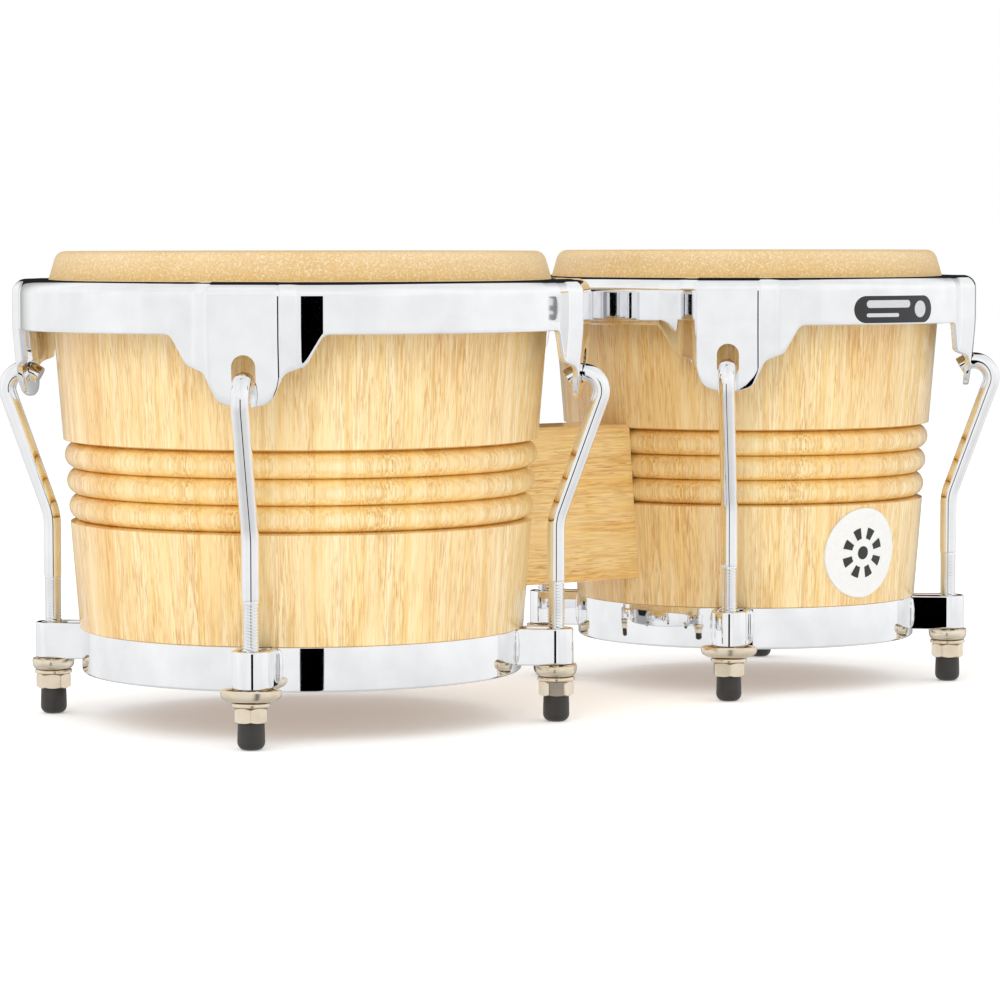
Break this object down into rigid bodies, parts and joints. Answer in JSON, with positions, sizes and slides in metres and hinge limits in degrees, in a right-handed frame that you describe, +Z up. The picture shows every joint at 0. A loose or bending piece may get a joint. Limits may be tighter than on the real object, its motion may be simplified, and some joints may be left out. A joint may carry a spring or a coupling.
{
  "type": "bongo drums",
  "caption": "Pair of tunable bongo drums: a large and a small wooden shell joined by a block, with skin heads, chrome rims and hooked tuning rods on rubber feet.",
  "frame": {"origin": "on the surface the feet stand on, at the middle of the bounding box", "axes": "+X from the large drum to the small drum, +Z up, -Y the front with the badge"},
  "size_m": [0.4706, 0.2384, 0.1992],
  "materials": {
    "shell_wood": "clear gloss lacquer over vertical grain",
    "block_wood": "clear gloss lacquer over horizontal grain",
    "skin": "dry translucent rawhide with fine speckle",
    "chrome": "polished chrome plate",
    "nickel": "warm nickel plate",
    "rubber": "matte moulded rubber",
    "bare_steel": "plain steel wire",
    "zinc_steel": "zinc plated fasteners",
    "badge_metal": "satin with dark relief",
    "label_film": "printed film"
  },
  "bodies": {
    "root": {"hembra_shell": "shell_wood", "hembra_head": "skin", "hembra_base_ring": "chrome", "hembra_brackets": "chrome", "hembra_cup_washers": "nickel", "hembra_flat_washers": "nickel", "macho_shell": "shell_wood", "macho_head": "skin", "macho_base_ring": "chrome", "macho_brackets": "chrome", "macho_cup_washers": "nickel", "macho_flat_washers": "nickel", "centre_block": "block_wood", "block_bolts": "zinc_steel", "block_washers": "zinc_steel", "block_nuts": "zinc_steel", "macho_badge": "badge_metal"},
    "hembra_nut_front_left": {"hembra_nut_front_left": "nickel"},
    "hembra_nut_front_right": {"hembra_nut_front_right": "nickel"},
    "hembra_nut_back_right": {"hembra_nut_back_right": "nickel"},
    "hembra_nut_back_left": {"hembra_nut_back_left": "nickel"},
    "hembra_tuning": {"hembra_rim": "chrome", "hembra_flesh_hoop": "bare_steel", "hembra_rod_front_left": "chrome", "hembra_cap_front_left": "rubber", "hembra_rod_front_right": "chrome", "hembra_cap_front_right": "rubber", "hembra_rod_back_right": "chrome", "hembra_cap_back_right": "rubber", "hembra_rod_back_left": "chrome", "hembra_cap_back_left": "rubber"},
    "macho_nut_front_left": {"macho_nut_front_left": "nickel"},
    "macho_nut_front_right": {"macho_nut_front_right": "nickel"},
    "macho_nut_back_right": {"macho_nut_back_right": "nickel"},
    "macho_nut_back_left": {"macho_nut_back_left": "nickel"},
    "macho_tuning": {"macho_rim": "chrome", "macho_flesh_hoop": "bare_steel", "macho_rod_front_left": "chrome", "macho_cap_front_left": "rubber", "macho_rod_front_right": "chrome", "macho_cap_front_right": "rubber", "macho_rod_back_right": "chrome", "macho_cap_back_right": "rubber", "macho_rod_back_left": "chrome", "macho_cap_back_left": "rubber", "macho_rim_label": "label_film"}
  },
  "joints": [
    {"name": "hembra_nut_front_left_turn", "type": "hinge", "parent": "root", "child": "hembra_nut_front_left", "pos_m": [-0.19351, -0.07736, 0.0142], "axis": [0, 0, 1], "range_deg": [0, 1140]},
    {"name": "hembra_nut_front_right_turn", "type": "hinge", "parent": "root", "child": "hembra_nut_front_right", "pos_m": [-0.03879, -0.07736, 0.0142], "axis": [0, 0, 1], "range_deg": [0, 1140]},
    {"name": "hembra_nut_back_right_turn", "type": "hinge", "parent": "root", "child": "hembra_nut_back_right", "pos_m": [-0.03879, 0.07736, 0.0142], "axis": [0, 0, 1], "range_deg": [0, 1140]},
    {"name": "hembra_nut_back_left_turn", "type": "hinge", "parent": "root", "child": "hembra_nut_back_left", "pos_m": [-0.19351, 0.07736, 0.0142], "axis": [0, 0, 1], "range_deg": [0, 1140]},
    {"name": "hembra_rim_tune", "type": "slide", "parent": "root", "child": "hembra_tuning", "axis": [0, 0, 1], "range_m": [-0.004, 0], "deforming": ["hembra_head"]},
    {"name": "macho_nut_front_left_turn", "type": "hinge", "parent": "root", "child": "macho_nut_front_left", "pos_m": [0.06665, -0.0664, 0.0142], "axis": [0, 0, 1], "range_deg": [0, 1140]},
    {"name": "macho_nut_front_right_turn", "type": "hinge", "parent": "root", "child": "macho_nut_front_right", "pos_m": [0.19945, -0.0664, 0.0142], "axis": [0, 0, 1], "range_deg": [0, 1140]},
    {"name": "macho_nut_back_right_turn", "type": "hinge", "parent": "root", "child": "macho_nut_back_right", "pos_m": [0.19945, 0.0664, 0.0142], "axis": [0, 0, 1], "range_deg": [0, 1140]},
    {"name": "macho_nut_back_left_turn", "type": "hinge", "parent": "root", "child": "macho_nut_back_left", "pos_m": [0.06665, 0.0664, 0.0142], "axis": [0, 0, 1], "range_deg": [0, 1140]},
    {"name": "macho_rim_tune", "type": "slide", "parent": "root", "child": "macho_tuning", "axis": [0, 0, 1], "range_m": [-0.004, 0], "deforming": ["macho_head"]}
  ],
  "couplings": [
    {"joint": "hembra_nut_front_left_turn", "follows": "hembra_rim_tune", "rad_per_m": -4947.4},
    {"joint": "hembra_nut_front_right_turn", "follows": "hembra_rim_tune", "rad_per_m": -4947.4},
    {"joint": "hembra_nut_back_right_turn", "follows": "hembra_rim_tune", "rad_per_m": -4947.4},
    {"joint": "hembra_nut_back_left_turn", "follows": "hembra_rim_tune", "rad_per_m": -4947.4},
    {"joint": "macho_nut_front_left_turn", "follows": "macho_rim_tune", "rad_per_m": -4947.4},
    {"joint": "macho_nut_front_right_turn", "follows": "macho_rim_tune", "rad_per_m": -4947.4},
    {"joint": "macho_nut_back_right_turn", "follows": "macho_rim_tune", "rad_per_m": -4947.4},
    {"joint": "macho_nut_back_left_turn", "follows": "macho_rim_tune", "rad_per_m": -4947.4}
  ]
}
